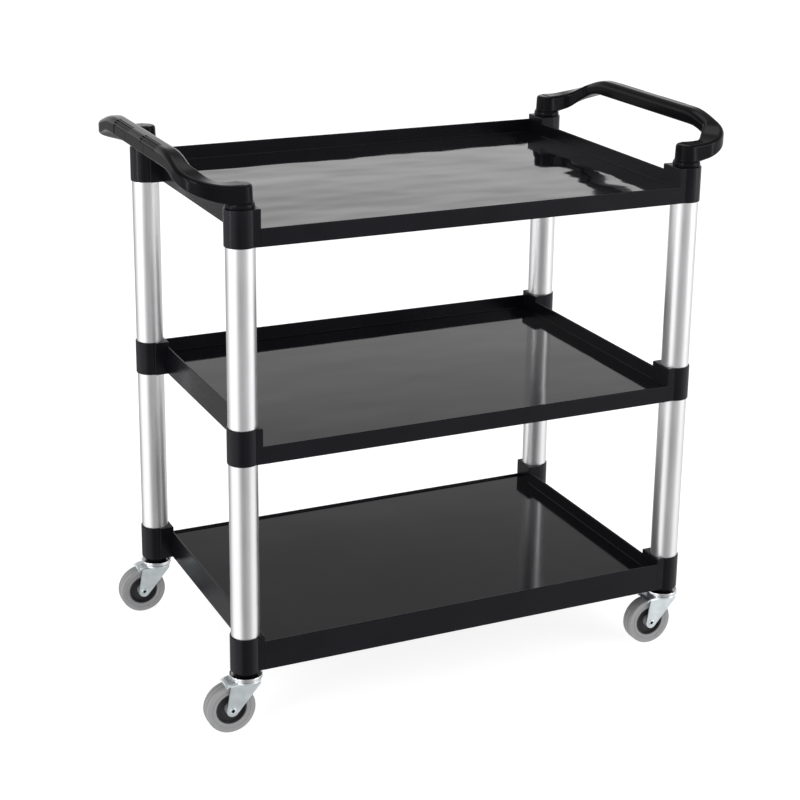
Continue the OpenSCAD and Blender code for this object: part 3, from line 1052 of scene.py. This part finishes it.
def draw_wheel(corner):
    """One tyre, and the wheel centre with its hub barrel, which is coloured lighter grey as a painted
    highlight.
    """
    at = on_axle(corner)
    half = [(25.03, 10.0), (26.2, 10.75), (29.4, 11.4), (30.2, 11.3), (30.5, 10.75), (31.5, 10.75),
            (31.8, 11.3), (32.4, 11.48), (37.6, 11.4)]
    half += arc(38.1, 9.95, 1.45, 80, 10, 5)
    half += [(39.8, 8.2), (39.96, 6.2), (39.96, 4.9), (39.6, 4.62), (38.2, 4.5), (38.2, 3.5), (39.6, 3.38),
             (39.98, 3.1), (40.0, 1.0)]
    tyre = Shape()
    tyre.turned(mirrored_outline(half), 128, matrix=at)
    settle(tyre.piece(corner + "_tyre_ring", [finish("rubber")]),
           corner + "_wheel", "tyre_rubber", corner + "_tyre", sharp=50)

    half = [(9.0, 4.6), (11.2, 4.4), (20.2, 3.4), (21.8, 4.2), (22.8, 10.0), (23.2, 10.45), (24.6, 10.45),
            (25.0, 10.1)]
    centre = Shape()
    centre.turned(mirrored_outline(half), 96, matrix=at)
    # painted highlight: the hub barrel takes the lighter grey second material
    half = [(6.08, 12.9), (6.4, 13.2), (9.3, 13.2), (9.95, 12.5), (9.95, 4.0)]
    centre.turned(mirrored_outline(half), 64, 1, matrix=at)
    settle(centre.piece(corner + "_wheel_body", [finish("hub"), finish("highlight_barrel")]),
           corner + "_wheel", "wheel_plastic", corner + "_wheel_centre", sharp=34)


class TROLLEY_OT_wheels(bpy.types.Operator):
    """Grey tyres on dished plastic wheel centres"""
    bl_idname = "trolley.wheels"
    bl_label = "Build wheels"

    def execute(self, context):
        for corner in CORNERS:
            draw_wheel(corner)
        return {"FINISHED"}


def draw_axle(corner):
    """One riveted axle with dark discs in its bores as painted shade, its sleeve and its two washers."""
    at = on_axle(corner)
    half = [(0, 14.2), (2.8, 14.2), (2.8, 18.0)] + arc(3.2, 18.0, 0.4, 180, 90, 3)
    half += arc(4.6, 17.35, 1.0, 90, 0, 4) + [(5.6, 17.02), (4.0, 17.02)]
    shape = Shape()
    shape.turned(mirrored_outline(half), 48, matrix=at)
    # painted shade: a thin dark disc just inside each hollow rivet end stands in for the shade in the bore
    for y in (-17.25, 17.25):
        shape.turned([(0, y - 0.2), (2.79, y - 0.2), (2.79, y + 0.2), (0, y + 0.2)], 32, 1, matrix=at)
    settle(shape.piece(corner + "_axle_rivet", [finish("zinc"), finish("rivet_bore_shade")]),
           corner + "_swivel", "steel_bright", corner + "_axle", sharp=40)
    shape = Shape()
    shape.turned([(4.02, -14.4), (5.7, -14.4), (5.98, -14.1), (5.98, 14.1), (5.7, 14.4), (4.02, 14.4)], 48,
                 matrix=at)
    settle(shape.piece(corner + "_spacer_sleeve", [finish("steel")]),
           corner + "_swivel", "steel_bright", corner + "_sleeve")
    shape = Shape()
    for y in (-13.95, 13.95):
        shape.turned([(6.05, y - 0.42), (8.2, y - 0.42), (8.48, y - 0.2), (8.48, y + 0.2), (8.2, y + 0.42),
                      (6.05, y + 0.42)], 48, matrix=at)
    settle(shape.piece(corner + "_washer_pair", [finish("steel")]),
           corner + "_swivel", "steel_bright", corner + "_washers")


class TROLLEY_OT_axles(bpy.types.Operator):
    """Riveted axles with their spacer sleeves and washers"""
    bl_idname = "trolley.axles"
    bl_label = "Build axles"

    def execute(self, context):
        for corner in CORNERS:
            draw_axle(corner)
        return {"FINISHED"}


# ---------------- stage


def add_light(name, power, size, place, aim):
    data = bpy.data.lights.new(name, "AREA")
    data.energy = power
    data.shape = "RECTANGLE"
    data.size, data.size_y = size
    made = new_object(name, data)
    made.location = place
    made.rotation_euler = (Vector(aim) - Vector(place)).to_track_quat("-Z", "Y").to_euler()
    made.visible_camera = False


def grey_ramp(tree, value, low, high, stops):
    """Grey level by a value, as (value, grey) stops between low and high."""
    span = tree.nodes.new("ShaderNodeMapRange")
    span.inputs["From Min"].default_value = low
    span.inputs["From Max"].default_value = high
    ramp = tree.nodes.new("ShaderNodeValToRGB")
    tree.links.new(value, span.inputs["Value"])
    tree.links.new(span.outputs["Result"], ramp.inputs["Fac"])
    while len(ramp.color_ramp.elements) < len(stops):
        ramp.color_ramp.elements.new(0.5)
    for element, (at, grey) in zip(ramp.color_ramp.elements, stops):
        element.position = (at - low) / (high - low)
        element.color = (grey, grey, grey, 1)
    return ramp.outputs["Color"]


def draw_world():
    """Studio surround: grey panels by direction below the horizon, and by height above it."""
    world = bpy.data.worlds.new("Soft surround")
    bpy.context.scene.world = world
    world.use_nodes = True
    tree = world.node_tree
    sky = tree.nodes["Background"]
    place = tree.nodes.new("ShaderNodeTexCoord")
    split = tree.nodes.new("ShaderNodeSeparateXYZ")
    front = tree.nodes.new("ShaderNodeMath")
    turn = tree.nodes.new("ShaderNodeMath")
    above = tree.nodes.new("ShaderNodeMapRange")
    mix = tree.nodes.new("ShaderNodeMix")
    front.operation = "MULTIPLY"
    front.inputs[1].default_value = -1
    turn.operation = "ARCTAN2"
    mix.data_type = "RGBA"
    above.inputs["From Min"].default_value = -0.12
    above.inputs["From Max"].default_value = -0.04
    tree.links.new(place.outputs["Generated"], split.inputs["Vector"])
    tree.links.new(split.outputs["Y"], front.inputs[0])
    tree.links.new(split.outputs["X"], turn.inputs[0])
    tree.links.new(front.outputs[0], turn.inputs[1])
    tree.links.new(split.outputs["Z"], above.inputs["Value"])
    panels = [(-180, 0.55), (-155, 0.3), (-135, 0.75), (-120, 1.25), (-60, 1.3), (-42, 0.42), (-25, 0.25),
              (-5, 0.4), (25, 0.55), (42, 1.1), (78, 1.15), (100, 0.75), (155, 0.7), (180, 0.55)]
    sides = grey_ramp(tree, turn.outputs[0], -math.pi, math.pi, [(math.radians(a), g) for a, g in panels])
    rise = [(-1, 1.15), (0.18, 1.15), (0.22, 1.1), (0.32, 0.7), (0.415, 0.34), (0.55, 0.36), (1, 0.5)]
    ceiling = grey_ramp(tree, split.outputs["Z"], -1, 1, rise)
    tree.links.new(above.outputs["Result"], mix.inputs["Factor"])
    tree.links.new(sides, mix.inputs[6])
    tree.links.new(ceiling, mix.inputs[7])
    tree.links.new(mix.outputs[2], sky.inputs["Color"])


def draw_camera():
    """The camera, set by its turn, rise, roll and place."""
    place = (-1.2499, -2.6470, 1.4644)
    turn, rise, roll = math.radians(-24.98), math.radians(16.76), math.radians(0.74)
    back = Vector((math.sin(turn) * math.cos(rise), -math.cos(turn) * math.cos(rise), math.sin(rise)))
    right = Vector((math.cos(turn), math.sin(turn), 0))
    up = back.cross(right)
    side = right * math.cos(roll) + up * math.sin(roll)
    top = up * math.cos(roll) - right * math.sin(roll)
    data = bpy.data.cameras.new("Camera")
    data.lens = 82.34
    data.sensor_width = 36
    data.shift_y = -0.12
    data.clip_end = 200
    made = new_object("Camera", data)
    made.matrix_world = Matrix((
        (side.x, top.x, back.x, place[0]),
        (side.y, top.y, back.y, place[1]),
        (side.z, top.z, back.z, place[2]),
        (0, 0, 0, 1)))
    bpy.context.scene.camera = made


class TROLLEY_OT_stage(bpy.types.Operator):
    """Pale floor, soft studio lights and the camera"""
    bl_idname = "trolley.stage"
    bl_label = "Set stage"

    def execute(self, context):
        t = stage_settings()
        reach = 60
        corners = [(x * reach, y * reach, 0) for x, y in ((-1, -1), (1, -1), (1, 1), (-1, 1))]
        mesh = bpy.data.meshes.new("Floor")
        mesh.from_pydata(corners, [], [(0, 1, 2, 3)])
        mesh.materials.append(pale_floor("pale_studio_floor", t.floor_colour))
        floor = new_object("Floor", mesh)
        floor.visible_glossy = False
        context.scene.view_settings.view_transform = "Standard"
        draw_world()
        add_light("Key", t.key_power, (1.2, 2.4), (-3.2, -1.6, 1.9), (0, 0, 0.5))
        add_light("Fill", t.fill_power, (1.4, 2.0), (2.6, -2.6, 1.4), (0, 0, 0.5))
        add_light("Overhead", t.top_power, (2.4, 2.4), (0.2, 0.6, 3.4), (0, 0, 0.6))
        add_light("Left strip", t.strip_power, (0.22, 1.7), (-3.0, -0.25, 0.9), (0, -0.1, 0.5))
        add_light("Right strip", t.strip_power * 0.6, (0.22, 1.7), (2.7, -1.6, 0.9), (0, -0.1, 0.5))
        draw_camera()
        return {"FINISHED"}


# ---------------- panel


class TROLLEY_PT_sidebar(bpy.types.Panel):
    bl_idname = "TROLLEY_PT_sidebar"
    bl_label = "Service trolley"
    bl_space_type = "VIEW_3D"
    bl_region_type = "UI"
    bl_category = "Trolley"

    def draw(self, context):
        for owner in (sizes(), colours(), stage_settings()):
            box = self.layout.box()
            for key in owner.__annotations__:
                box.prop(owner, key)
        for name in STEPS:
            self.layout.operator("trolley." + name)


STEPS = ("shelves", "posts", "handles", "forks", "swivels", "wheels", "axles", "stage")
CLASSES = (
    TrolleySizes, TrolleyColours, StageSettings,
    TROLLEY_OT_shelves, TROLLEY_OT_posts, TROLLEY_OT_handles, TROLLEY_OT_forks,
    TROLLEY_OT_swivels, TROLLEY_OT_wheels, TROLLEY_OT_axles, TROLLEY_OT_stage,
    TROLLEY_PT_sidebar,
)


def register():
    for cls in CLASSES:
        bpy.utils.register_class(cls)
    bpy.types.Scene.trolley_sizes = bpy.props.PointerProperty(type=TrolleySizes)
    bpy.types.Scene.trolley_colours = bpy.props.PointerProperty(type=TrolleyColours)
    bpy.types.Scene.trolley_stage = bpy.props.PointerProperty(type=StageSettings)


def unregister():
    del bpy.types.Scene.trolley_sizes
    del bpy.types.Scene.trolley_colours
    del bpy.types.Scene.trolley_stage
    for cls in reversed(CLASSES):
        bpy.utils.unregister_class(cls)


def main():
    register()
    for name in STEPS:
        getattr(bpy.ops.trolley, name)()


if __name__ == "__main__":
    main()
